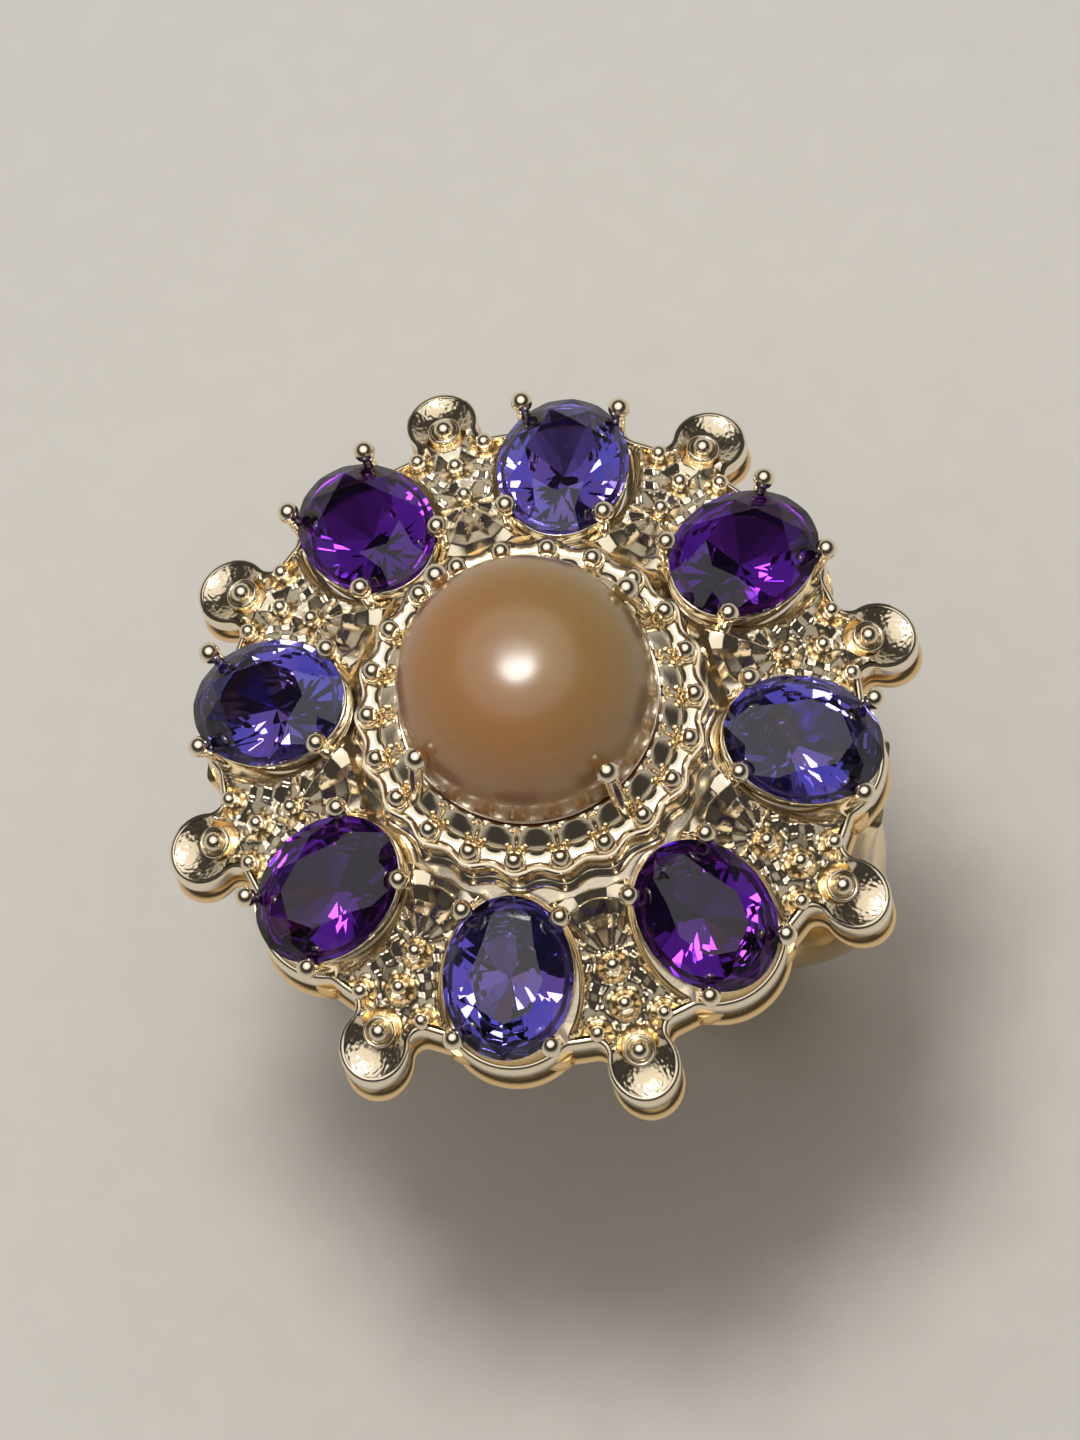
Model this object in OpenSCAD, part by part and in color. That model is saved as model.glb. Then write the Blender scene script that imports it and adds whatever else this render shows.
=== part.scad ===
// Cluster cocktail ring: a high cabochon ringed by eight oval stones on a scalloped head.
// Millimetres. Z = 0 is the centre of the finger hole, the hole runs along Y, the head is on +Z.

/* [Band] */
// Inside diameter of the band, the size of the finger
finger_d = 16.9; // [15.6:0.1:18.4]
// Thickness of the band along its middle
band_t = 1.2; // [1:0.05:1.5]
// Thickness of the band along its two edges
band_edge_t = 0.55; // [0.4:0.05:0.8]
// Width of the band beside the head
band_w = 4.2; // [3.4:0.1:5]
// Width of the band at the back of the finger
band_back_w = 2.8; // [2:0.1:3.4]
// Width of the two shoulders that carry the rim of the head
shoulder_w = 3.4; // [2.4:0.1:4]

/* [Head] */
// Least room between the finger and the lower rail
rail_clearance = 0.15; // [0.1:0.05:1]
// Slope of the head from its middle to its edge, in degrees
head_slope = 22.8; // [18:0.2:25]
// Drop from the outer stones' girdles to the head plate below them
plate_drop = 1.25; // [1.1:0.05:1.5]
// Thickness of the head plate
plate_t = 0.55; // [0.45:0.05:0.8]
// Distance from the outer stones' centres to the edge of the head's round body
body_reach = 1.7; // [1.6:0.05:1.9]
// How far the plate's round ends stop short of the stones' outer ends
end_inset = 0.15; // [0:0.01:0.2]
// Radius of the hollow corners on both sides of a lobe
neck_r = 0.4; // [0.3:0.05:0.6]
// Width of the raised edge of the plate
rim_w = 0.2; // [0.15:0.01:0.3]
// Height of the raised edge of the plate
rim_h = 0.2; // [0.1:0.01:0.3]

/* [Gallery] */
// Height of the open gap between the plate and the lower rail
gallery_gap = 0.7; // [0.5:0.05:1]
// Height of the lower rail
rail_h = 0.5; // [0.35:0.05:0.7]
// Width of the lower rail, from its outside to its inside
rail_w = 0.8; // [0.5:0.05:1.1]
// Radius of the posts below the claws
claw_post_r = 0.36; // [0.25:0.01:0.4]
// Radius of the posts below the lobes
lobe_post_r = 0.48; // [0.3:0.01:0.55]
// How far the round gallery that stands on the finger is set in from the collar's outside
base_inset = 0.1; // [0:0.05:0.4]
// Wall of the round gallery
base_wall = 0.9; // [0.7:0.05:1.2]
// Radius of the round windows in the gallery and the shoulders
window_r = 0.45; // [0.3:0.01:0.55]

/* [Petals] */
// Distance from the edge of the round body to the lobes' centres
lobe_reach = 0.9; // [0.7:0.05:1.1]
// Radius of a lobe's round end
lobe_r = 1.1; // [0.9:0.05:1.2]
// Height of a petal above the plate
petal_h = 0.35; // [0.25:0.01:0.5]
// Radius of the ball that hollows out a lobe
scoop_r = 1.2; // [1:0.05:1.6]
// Depth of that hollow
scoop_depth = 0.25; // [0.1:0.01:0.3]
// Radius of the small beads on a petal
bead_r = 0.27; // [0.2:0.01:0.3]
// Radius of the large bead at the root of a lobe
lobe_bead_r = 0.35; // [0.28:0.01:0.4]
// Radius of the cup round that large bead
bead_cup_r = 0.52; // [0.45:0.01:0.56]

/* [Outer stones] */
// Number of outer stones, and of the lobes between them
stones = 8; // [8:1:8]
// Gap between the collar and the inner ends of the outer stones
collar_gap = 0.32; // [0.2:0.01:0.6]
// Length of an oval stone
stone_l = 5; // [4.4:0.05:5.2]
// Width of an oval stone
stone_w = 4; // [3.5:0.05:4.2]
// Height of an oval stone above its girdle
crown_h = 0.62; // [0.5:0.01:0.8]
// Depth of an oval stone below its girdle
pavilion_d = 1.75; // [1.4:0.05:1.9]
// Thickness of an oval stone's girdle
girdle_t = 0.1; // [0.06:0.01:0.16]
// Tilt of the outer stones away from the middle, in degrees
stone_tilt = 18; // [12:0.5:22]
// Depth of a basket below the stone's girdle
basket_d = 1.9; // [1.6:0.05:2.2]
// Wall of a basket
basket_wall = 0.45; // [0.35:0.05:0.6]
// Radius of a claw's stem
claw_r = 0.24; // [0.2:0.01:0.28]
// Radius of the ball on a claw's tip
claw_ball_r = 0.34; // [0.28:0.01:0.38]
// Height of that ball's centre above the girdle
claw_ball_h = 0.45; // [0.35:0.01:0.6]

/* [Centre] */
// Diameter of the cabochon
opal_d = 7.9; // [7.4:0.05:8.2]
// Height of the cabochon's straight side
opal_side_h = 1.2; // [0.8:0.05:1.6]
// Height of the cabochon's dome
opal_dome_h = 3.9; // [3.4:0.05:4.4]
// Fullness of the dome: 2 is an ellipse, and more is fuller
opal_fullness = 2.4; // [2:0.1:3]
// Height of the cabochon's seat above the outer stones' girdles
seat_h = 1.9; // [1.7:0.05:2.2]
// Gap round the cabochon in its seat
seat_gap = 0.04; // [0.02:0.01:0.1]
// Width of the seat under the cabochon's edge, round the light hole
seat_w = 0.65; // [0.5:0.05:1.2]
// Number of beads round the collar
collar_bead_count = 22; // [18:1:23]
// Distance from the cabochon's seat to the circle of collar beads
flange_w = 0.98; // [0.9:0.01:1.2]
// Radius of a collar bead
collar_bead_r = 0.3; // [0.24:0.01:0.32]
// Metal of the collar outside its beads
collar_rim = 0.23; // [0.15:0.01:0.35]
// Radius of a centre claw's stem
opal_claw_r = 0.24; // [0.2:0.01:0.26]
// Radius of the ball on a centre claw's tip
opal_ball_r = 0.38; // [0.32:0.01:0.42]
// Height of that ball's centre above the cabochon's seat
opal_ball_h = 2.7; // [2.3:0.05:3.1]

/* [Hidden] */

$fn = 64;
step = 360 / stones;
finger_r = finger_d / 2;
band_r = finger_r + band_t;
opal_r = opal_d / 2;
light_hole_r = opal_r - seat_w;
collar_bead_ring_r = opal_r + seat_gap + flange_w;
collar_r = collar_bead_ring_r + collar_bead_r + collar_rim;
base_r = collar_r - base_inset;
stone_ring_r = collar_r + collar_gap + stone_l / 2 * cos(stone_tilt);
body_r = stone_ring_r + body_reach;
lobe_ring_r = body_r + lobe_reach;
// radius of the plate's round end under each stone
end_r = stone_l / 2 - end_inset;
// the lower rail's underside, measured down from the plate's top
rail_drop = plate_t + gallery_gap + rail_h;
// height of the outer stones' girdles: the lower rail just clears the finger under the two end stones
head_h = finger_r + rail_clearance + rail_drop + plate_drop + tan(head_slope) * end_r;
reach = lobe_ring_r + lobe_r + 1;
collar_top = head_h + seat_h;
bead_floor = collar_top - 0.5;
claw_x = 0.392 * stone_l;
claw_y = 0.375 * stone_w;
// a claw leans in towards its foot by this share
claw_lean = 0.88;
petal_neck_r = collar_r + 0.5;
// half the width of a petal's neck, a share of its eighth of the head
petal_neck_w = 0.3 * petal_neck_r * tan(step / 2);
bead_places = [[lobe_ring_r - 1.13, 6.3], [lobe_ring_r - 1.13, -6.3], [lobe_ring_r - 1.76, 0],
    [lobe_ring_r - 2.89, 0]];
lobe_bead_ring_r = lobe_ring_r - 0.5;
gold = [0.87, 0.72, 0.42];
warm_gold = [0.84, 0.62, 0.30];
tanzanite_blue = [0.24, 0.22, 0.66];
amethyst_purple = [0.25, 0.06, 0.42];
opal_peach = [0.74, 0.50, 0.28];

// ---------- the sloping surfaces of the head ----------

// height of the plate's top at radius r, raised by lift
function top_z(r, lift = 0) =
    head_h - plate_drop + lift - tan(head_slope) * (r - stone_ring_r);

// the space between two copies of the plate's top, lo and hi above it
module slope_layer(r0, r1, lo, hi) {
    rotate_extrude()
        polygon([
            [r0, top_z(r0, lo)],
            [r1, top_z(r1, lo)],
            [r1, top_z(r1, hi)],
            [r0, top_z(r0, hi)],
        ]);
}

// all that is below the plate's top raised by lift
module under_slope(lift) {
    rotate_extrude()
        polygon([
            [0, 0],
            [reach, 0],
            [reach, top_z(reach, lift)],
            [0, top_z(0, lift)],
        ]);
}

// all that is above it, up to well over the stones
module over_slope(lift) {
    rotate_extrude()
        polygon([
            [0, top_z(0, lift)],
            [reach, top_z(reach, lift)],
            [reach, head_h + 9],
            [0, head_h + 9],
        ]);
}

// ---------- outlines ----------

// the scalloped outline: a disc, a round end under each stone, a lobe between them
module head_outline() {
    offset(r = -neck_r, $fn = 24)
        offset(r = neck_r, $fn = 24) {
            circle(r = body_r, $fn = 64);
            for (i = [0 : stones - 1]) {
                rotate(i * step)
                    translate([stone_ring_r, 0])
                        circle(r = end_r, $fn = 32);
                rotate((i + 0.5) * step)
                    translate([lobe_ring_r, 0])
                        circle(r = lobe_r, $fn = 24);
            }
        }
}

module head_column() {
    linear_extrude(height = head_h + 3)
        head_outline();
}

module inner_column(inset) {
    linear_extrude(height = head_h + 4)
        offset(delta = -inset)
            head_outline();
}

module oval(half_l, half_w) {
    polygon([for (k = [0 : 47]) [half_l * cos(7.5 * k), half_w * sin(7.5 * k)]]);
}

// a round rod from one point to another
module rod(from, to, r) {
    d = to - from;
    translate(from)
        rotate([0, acos(d[2] / norm(d)), atan2(d[1], d[0])])
            cylinder(h = norm(d), r = r, $fn = 32);
}

// ---------- outer stones ----------

// puts its children at outer stone i, with Z out through the stone's table
module at_stone(i) {
    rotate(i * step)
        translate([stone_ring_r, 0, head_h])
            rotate([0, stone_tilt, 0])
                children();
}

function oval_ring(share, n, z, turn) =
    [for (k = [0 : n - 1])
        [share * stone_l / 2 * cos(360 * k / n + turn), share * stone_w / 2 * sin(360 * k / n + turn), z]];

// an oval brilliant: table, crown points, girdle, pavilion points and culet
module cut_stone() {
    points = concat(
        oval_ring(0.56, 8, crown_h, 22.5),
        oval_ring(0.8, 8, 0.55 * crown_h, 0),
        oval_ring(1, 32, girdle_t / 2, 0),
        oval_ring(1, 32, -girdle_t / 2, 0),
        oval_ring(0.56, 8, -0.56 * pavilion_d, 22.5),
        [[0, 0, -pavilion_d]]);
    hull()
        polyhedron(points, [[for (k = [0 : len(points) - 1]) k]]);
}

// one claw's foot and tip, in the stone's own frame
function claw_foot(sx, sy) = [sx * claw_x * claw_lean, sy * claw_y * claw_lean, -basket_d];
function claw_tip(sx, sy) = [sx * claw_x, sy * claw_y, claw_ball_h];

module claws() {
    for (sx = [-1, 1], sy = [-1, 1]) {
        rod(claw_foot(sx, sy), claw_tip(sx, sy), claw_r);
        translate(claw_tip(sx, sy))
            sphere(r = claw_ball_r, $fn = 32);
    }
}

// an oval basket with four ball-tipped claws, cut away where the stone rests
module setting(i) {
    seat_top = -0.28;
    at_stone(i)
        difference() {
            union() {
                translate([0, 0, -basket_d])
                    linear_extrude(height = basket_d + seat_top)
                        difference() {
                            oval(stone_l / 2 - 0.05, stone_w / 2 - 0.05);
                            oval(stone_l / 2 - 0.05 - basket_wall, stone_w / 2 - 0.05 - basket_wall);
                        }
                claws();
            }
            cut_stone();
        }
}

// the holes that the baskets and claws fill in the pieces round them
module setting_holes() {
    for (i = [0 : stones - 1])
        at_stone(i) {
            translate([0, 0, -basket_d - 1])
                linear_extrude(height = basket_d + 2)
                    oval(stone_l / 2 - 0.05, stone_w / 2 - 0.05);
            for (sx = [-1, 1], sy = [-1, 1])
                rod(claw_foot(sx, sy), claw_tip(sx, sy), claw_r);
        }
}

module tanzanite_setting(i) {
    color(gold) setting(2 * i);
}

module amethyst_setting(i) {
    color(gold) setting(2 * i + 1);
}

module tanzanite(i) {
    color(tanzanite_blue) at_stone(2 * i) cut_stone();
}

module amethyst(i) {
    color(amethyst_purple) at_stone(2 * i + 1) cut_stone();
}

// ---------- band ----------

// the whole round band, before the head is let into it
module full_band() {
    rise = band_t - band_edge_t;
    arc_r = (band_w * band_w / 4 + rise * rise) / (2 * rise);
    intersection() {
        rotate([90, 0, 0])
            rotate_extrude($fn = 128)
                intersection() {
                    translate([finger_r, -band_w / 2])
                        square([band_t, band_w]);
                    translate([band_r - arc_r, 0])
                        circle(r = arc_r, $fn = 128);
                }
        rotate([90, 0, 90])
            translate([0, 0, -band_r - 1])
                linear_extrude(height = 2 * band_r + 2)
                    polygon([
                        [-band_back_w / 2, -band_r - 1],
                        [band_back_w / 2, -band_r - 1],
                        [band_w / 2 + 0.1, 3],
                        [band_w / 2 + 0.1, band_r + 1],
                        [-band_w / 2 - 0.1, band_r + 1],
                        [-band_w / 2 - 0.1, 3],
                    ]);
    }
}

module shank() {
    color(gold)
        difference() {
            full_band();
            cylinder(h = head_h, r = base_r);
        }
}

// a web from the band up to the lower rail, on the side that sx gives
module shoulder(sx) {
    color(gold)
        difference() {
            translate([0, shoulder_w / 2, 0])
                rotate([90, 0, 0])
                    linear_extrude(height = shoulder_w)
                        polygon([
                            [sx * base_r * 0.9, 0.55 * finger_r],
                            [sx * (finger_r + 0.3), 1.5],
                            [sx * (band_r - 0.05), 1.5],
                            [sx * (band_r + 0.25), 0.62 * finger_r],
                            [sx * (body_r + 0.55), head_h],
                            [sx * base_r * 0.9, head_h],
                        ]);
            rotate([90, 0, 0])
                cylinder(h = band_w + 2, r = finger_r, center = true, $fn = 128);
            full_band();
            cylinder(h = head_h, r = base_r);
            over_slope(-rail_drop);
            translate([sx * (finger_r - 0.75), 0, finger_r - 0.65])
                rotate([90, 0, 0])
                    cylinder(h = shoulder_w + 2, r = 2.2 * window_r, center = true);
        }
}

// ---------- under the head ----------

// the round gallery: it stands on the finger and carries the plate
module base_ring() {
    color(warm_gold)
        difference() {
            rotate_extrude()
                polygon([
                    [base_r - base_wall, 0.4 * finger_r],
                    [base_r, 0.4 * finger_r],
                    [base_r, top_z(base_r, -plate_t)],
                    [base_r - base_wall, top_z(base_r - base_wall, -plate_t)],
                ]);
            rotate([90, 0, 0])
                cylinder(h = 4 * base_r, r = finger_r, center = true, $fn = 128);
            for (i = [0 : stones - 1])
                rotate((i + 0.5) * step)
                    translate([base_r - 2 * base_wall, 0, finger_r + 1.7])
                        rotate([0, 90, 0])
                            cylinder(h = 4 * base_wall, r = window_r);
        }
}

module gallery_rail() {
    color(warm_gold)
        intersection() {
            difference() {
                head_column();
                inner_column(rail_w);
            }
            slope_layer(body_r / 2, reach, -rail_drop, -rail_drop + rail_h);
        }
}

// posts stand between the rail and the plate, in its gap, and make room for the baskets
module gap_posts(r, post_r, angle) {
    difference() {
        intersection() {
            for (i = [0 : stones - 1])
                rotate(i * step + angle)
                    translate([r, 0, 0])
                        cylinder(h = head_h, r = post_r, $fn = 32);
            slope_layer(body_r / 2, reach, -plate_t - gallery_gap, -plate_t);
        }
        setting_holes();
    }
}

module claw_posts() {
    claw_angle = atan2(claw_y, stone_ring_r + claw_x);
    post_ring_r = body_r - 0.1;
    color(warm_gold) {
        gap_posts(post_ring_r, claw_post_r, claw_angle);
        gap_posts(post_ring_r, claw_post_r, -claw_angle);
    }
}

module lobe_posts() {
    color(warm_gold)
        gap_posts(lobe_ring_r + lobe_r - rail_w / 2 - 0.12, lobe_post_r, step / 2);
}

// ---------- plate and petals ----------

module head_plate() {
    color(gold)
        difference() {
            intersection() {
                head_column();
                slope_layer(light_hole_r, reach, -plate_t, rim_h);
            }
            intersection() {
                inner_column(rim_w);
                over_slope(0);
            }
            setting_holes();
        }
}

// a raised petal between two stones, with a hollowed lobe at its end
module petal(i) {
    color(gold)
        rotate((i + 0.5) * step)
            difference() {
                intersection() {
                    linear_extrude(height = head_h + 3)
                        polygon([
                            [petal_neck_r, -petal_neck_w],
                            [lobe_ring_r - 1.3, -lobe_r - 1],
                            [lobe_ring_r - 0.7, -lobe_r - 0.5],
                            [reach, -lobe_r - 0.2],
                            [reach, lobe_r + 0.2],
                            [lobe_ring_r - 0.7, lobe_r + 0.5],
                            [lobe_ring_r - 1.3, lobe_r + 1],
                            [petal_neck_r, petal_neck_w],
                        ]);
                    rotate(-0.5 * step)
                        inner_column(rim_w);
                    slope_layer(petal_neck_r - 1, reach, 0, petal_h);
                }
                translate([lobe_ring_r + 0.05, 0, top_z(lobe_ring_r, petal_h) + scoop_r - scoop_depth])
                    sphere(r = scoop_r);
                translate([lobe_bead_ring_r, 0, 0])
                    cylinder(h = head_h + 3, r = bead_cup_r, $fn = 48);
                rotate(-0.5 * step)
                    setting_holes();
            }
}

// small round beads sunk a little way into the petals
module petal_beads() {
    color(gold)
        for (i = [0 : stones - 1], place = bead_places)
            rotate((i + 0.5) * step + place[1])
                difference() {
                    translate([place[0], 0, top_z(place[0], petal_h + 0.1)])
                        sphere(r = bead_r, $fn = 32);
                    under_slope(petal_h);
                }
}

// a larger bead in a round cup at the root of each lobe
module lobe_beads() {
    color(gold)
        for (i = [0 : stones - 1])
            rotate((i + 0.5) * step)
                difference() {
                    union() {
                        translate([lobe_bead_ring_r, 0, head_h - 4])
                            cylinder(h = top_z(lobe_bead_ring_r, petal_h + 0.12) - head_h + 4,
                                r = bead_cup_r, $fn = 48);
                        translate([lobe_bead_ring_r, 0, top_z(lobe_bead_ring_r, petal_h + 0.28)])
                            sphere(r = lobe_bead_r, $fn = 32);
                    }
                    under_slope(0);
                }
}

// ---------- centre ----------

function bead_turn(k) = 90 + 360 * k / collar_bead_count;

function opal_claw_foot() = [collar_bead_ring_r - 0.42, 0, bead_floor - 0.3];
// the balls lean on the dome, so their place follows its outline
function opal_claw_tip() =
    [dome_r((opal_ball_h - opal_side_h) / opal_dome_h) + opal_ball_r - 0.03, 0, collar_top + opal_ball_h];

// four claws' stems, the shape that the collar makes room for
module opal_stems() {
    for (i = [0 : 3])
        rotate(45 + 90 * i)
            rod(opal_claw_foot(), opal_claw_tip(), opal_claw_r);
}

// the collar: a fluted flange round the cabochon and a flat ledge for the beads
module collar() {
    lip = opal_r + seat_gap;
    ledge_in = collar_bead_ring_r - collar_bead_r - 0.03;
    color(gold)
        difference() {
            rotate_extrude()
                polygon([
                    [light_hole_r, top_z(light_hole_r)],
                    [collar_r - 0.15, top_z(collar_r - 0.15)],
                    [collar_r, bead_floor - 0.2],
                    [collar_r - 0.1, bead_floor + 0.12],
                    [collar_bead_ring_r + collar_bead_r, bead_floor],
                    [ledge_in, bead_floor],
                    [ledge_in - 0.05, bead_floor + 0.25],
                    [lip + 0.14, collar_top + 0.22],
                    [lip, collar_top + 0.22],
                    [lip, collar_top],
                    [light_hole_r, collar_top],
                ]);
            for (k = [0 : collar_bead_count - 1])
                rotate(bead_turn(k + 0.5)) {
                    rod([lip + 0.02, 0, collar_top + 0.36], [ledge_in + 0.1, 0, bead_floor + 0.3], 0.15);
                    translate([collar_r + 0.12, 0, top_z(collar_r) - 0.5])
                        cylinder(h = 4, r = 0.3, $fn = 32);
                }
            opal_stems();
        }
}

module collar_beads() {
    color(gold)
        for (k = [0 : collar_bead_count - 1])
            rotate(bead_turn(k))
                difference() {
                    translate([collar_bead_ring_r, 0, bead_floor + 0.22])
                        sphere(r = collar_bead_r, $fn = 32);
                    cylinder(h = bead_floor, r = reach);
                    rotate(-bead_turn(k))
                        opal_stems();
                }
}

// the cabochon's outline: a straight side, then a full dome
function dome_r(t) = opal_r * pow(1 - pow(t, opal_fullness), 1 / opal_fullness);

module opal() {
    rings = 16;
    dome_foot = collar_top + opal_side_h;
    color(opal_peach)
        rotate_extrude()
            polygon(concat(
                [[0, collar_top], [opal_r - 0.15, collar_top], [opal_r, collar_top + 0.15]],
                [for (k = [0 : rings - 1])
                    [dome_r(sin(90 * k / rings)), dome_foot + opal_dome_h * sin(90 * k / rings)]],
                [[0, dome_foot + opal_dome_h]]));
}

module opal_claw(i) {
    color(gold)
        difference() {
            rotate(45 + 90 * i) {
                rod(opal_claw_foot(), opal_claw_tip(), opal_claw_r);
                translate(opal_claw_tip())
                    sphere(r = opal_ball_r, $fn = 32);
            }
            opal();
        }
}

shank();
shoulder(-1);  // shoulder_left
shoulder(1);  // shoulder_right
base_ring();
gallery_rail();
claw_posts();
lobe_posts();
head_plate();
petal(0);  // petal_1
petal(1);  // petal_2
petal(2);  // petal_3
petal(3);  // petal_4
petal(4);  // petal_5
petal(5);  // petal_6
petal(6);  // petal_7
petal(7);  // petal_8
petal_beads();
lobe_beads();
tanzanite_setting(0);  // tanzanite_setting_1
tanzanite_setting(1);  // tanzanite_setting_2
tanzanite_setting(2);  // tanzanite_setting_3
tanzanite_setting(3);  // tanzanite_setting_4
amethyst_setting(0);  // amethyst_setting_1
amethyst_setting(1);  // amethyst_setting_2
amethyst_setting(2);  // amethyst_setting_3
amethyst_setting(3);  // amethyst_setting_4
tanzanite(0);  // tanzanite_1
tanzanite(1);  // tanzanite_2
tanzanite(2);  // tanzanite_3
tanzanite(3);  // tanzanite_4
amethyst(0);  // amethyst_1
amethyst(1);  // amethyst_2
amethyst(2);  // amethyst_3
amethyst(3);  // amethyst_4
collar();
collar_beads();
opal();
opal_claw(0);  // opal_claw_1
opal_claw(1);  // opal_claw_2
opal_claw(2);  // opal_claw_3
opal_claw(3);  // opal_claw_4
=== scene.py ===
# %% [markdown]
# # A cluster cocktail ring
# This lesson dresses a finished jewellery model for rendering. The CAD part gives every size and place,
# and each cell below builds one piece of the ring, or one of its finishes, the way a goldsmith would
# think of it: band, gallery, plate, petals, settings, stones and centre.

# %% Load the frame
import math

import bmesh
import bpy
from mathutils import Matrix, Vector, noise


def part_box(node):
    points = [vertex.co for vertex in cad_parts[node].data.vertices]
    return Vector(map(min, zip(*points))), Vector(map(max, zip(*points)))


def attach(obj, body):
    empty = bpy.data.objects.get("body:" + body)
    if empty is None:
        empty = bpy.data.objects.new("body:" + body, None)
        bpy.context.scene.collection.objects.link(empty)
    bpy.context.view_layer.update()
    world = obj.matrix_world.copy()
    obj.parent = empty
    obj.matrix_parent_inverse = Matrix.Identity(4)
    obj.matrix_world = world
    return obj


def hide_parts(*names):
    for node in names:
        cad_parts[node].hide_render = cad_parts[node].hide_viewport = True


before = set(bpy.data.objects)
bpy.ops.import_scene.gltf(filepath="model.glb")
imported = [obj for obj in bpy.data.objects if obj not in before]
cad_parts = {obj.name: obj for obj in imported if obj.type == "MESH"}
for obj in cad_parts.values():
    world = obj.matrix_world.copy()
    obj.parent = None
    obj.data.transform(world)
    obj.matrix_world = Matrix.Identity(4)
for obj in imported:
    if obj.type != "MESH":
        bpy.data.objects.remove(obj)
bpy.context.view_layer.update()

# %% [markdown]
# ## Sizes
# Goldsmiths measure in millimetres, and the scene is in metres, so everything is drawn in millimetres
# and shrunk once, when a piece is finished. Places are read from the CAD boxes. The few slopes and
# wall sizes that a box can't tell are named here, as they are in the CAD part.

# %% Places read from the CAD boxes
MM = 0.001


def box_mm(node):
    low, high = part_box(node)
    return [v / MM for v in low], [v / MM for v in high]


opal_low, opal_high = box_mm("opal")
band_low, band_high = box_mm("shank")
_, gallery_high = box_mm("base_ring")
_, collar_high = box_mm("collar")
stone_low, stone_high = box_mm("tanzanite_1")

STONES = 8
SECTOR = math.tau / STONES
TILT = math.radians(18)
SLOPE = math.radians(22.8)
# an oval stone: depth below its girdle, height above it, and the girdle itself
PAVILION = 1.75
CROWN = 0.62
GIRDLE = 0.1
# the plate: how far it lies below the girdles, its thickness and its raised edge
PLATE_DROP = 1.25
PLATE_T = 0.55
RIM_W = 0.14
RIM_H = 0.3
LIGHT_HOLE_R = 3.35
# the open gap under the plate, and the lower rail
GAP = 0.7
RAIL_H = 0.5
RAIL_W = 0.8
# the scalloped outline: round ends under the stones, lobes, and the small hollows beside them
END_INSET = 0.15
LOBE_R = 1.1
NECK_R = 0.4

stone_ring = (stone_low[0] + stone_high[0]) / 2
stone_w = stone_high[1] - stone_low[1]
stone_l = 1.25 * stone_w
head_z = stone_low[2] + PAVILION * math.cos(TILT)
BODY_R = stone_ring + 1.7
LOBE_RING = BODY_R + 0.9
opal_r = (opal_high[0] - opal_low[0]) / 2
seat_z = opal_low[2]
dome_z = opal_high[2]
band_r = -band_low[2]
FINGER_R = band_r - 1.2
gallery_r = gallery_high[0]
print(f"stones on a {stone_ring:.2f} mm circle at height {head_z:.2f}, cabochon {2 * opal_r:.2f} mm")


def plate_z(r, lift=0.0):
    """Height of the sloping plate at radius r."""
    return head_z - PLATE_DROP + lift - math.tan(SLOPE) * (r - stone_ring)


# %% [markdown]
# ## Camera, lights and floor
# The ring is looked at from high in front, a little to the right, and turned slightly in the picture.
# A long lens keeps it nearly free of perspective. Polished gold only shows what is round it, so the
# room is dark down to the horizon, which gives the metal its contrast, and the pale floor lights every
# lower edge. A small lamp inside a wide soft box, almost overhead, puts the highlight on every bead.

# %% Camera
look = (
    Matrix.Rotation(math.radians(7.3), 3, "Y")
    @ Matrix.Rotation(math.radians(17.4), 3, "X")
    @ Matrix.Rotation(math.radians(6.1), 3, "Z")
)
to_camera = look @ Vector((0, 0, 1))
target = Vector((0.0001, 0.0001, (head_z - 0.2) * MM))
camera_data = bpy.data.cameras.new("camera")
camera_data.lens = 560
camera_data.sensor_width = 36
camera_data.clip_start = 0.05
camera_data.clip_end = 20
camera = bpy.data.objects.new("camera", camera_data)
camera.matrix_world = Matrix.Translation(target + to_camera * 0.68) @ look.to_4x4()
bpy.context.scene.collection.objects.link(camera)
bpy.context.scene.camera = camera
print("camera looks from", [round(v, 3) for v in to_camera])


# %% Lamps and world
def lamp(name, direction, distance, size, power, colour):
    data = bpy.data.lights.new(name, "AREA")
    data.shape = "DISK"
    data.size = size
    data.energy = power
    data.color = colour
    lamp_object = bpy.data.objects.new(name, data)
    aim = Vector(direction).normalized()
    turn = aim.to_track_quat("Z", "Y").to_matrix().to_4x4()
    lamp_object.matrix_world = Matrix.Translation(target + aim * distance) @ turn
    bpy.context.scene.collection.objects.link(lamp_object)
    lamp_object.visible_camera = False


KEY = (-0.07, 0.14, 0.98)
lamp("key lamp", KEY, 0.50, 0.13, 1.15, (1.0, 0.985, 0.96))
lamp("soft box", KEY, 0.53, 0.84, 1.6, (1.0, 0.985, 0.96))

world = bpy.data.worlds.new("studio")
world.use_nodes = True
sky = world.node_tree
turned_to = sky.nodes.new("ShaderNodeTexCoord")
parts = sky.nodes.new("ShaderNodeSeparateXYZ")
walls = sky.nodes.new("ShaderNodeValToRGB")
walls.color_ramp.elements[0].position = 0.0
walls.color_ramp.elements[0].color = (0.55, 0.52, 0.48, 1)
walls.color_ramp.elements[1].position = 0.36
walls.color_ramp.elements[1].color = (0.045, 0.042, 0.04, 1)
sky.links.new(turned_to.outputs["Generated"], parts.inputs["Vector"])
sky.links.new(parts.outputs["Z"], walls.inputs["Fac"])
sky.links.new(walls.outputs["Color"], sky.nodes["Background"].inputs["Color"])
sky.nodes["Background"].inputs["Strength"].default_value = 1.0
bpy.context.scene.world = world
bpy.context.scene.view_settings.view_transform = "Standard"


# %% [markdown]
# ## Writing shaders as sums
# Shader graphs are easier to read as arithmetic. A Wire holds one socket, and its operators add Math
# nodes. A Finish holds one material, and its one method adds any other node.

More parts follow.
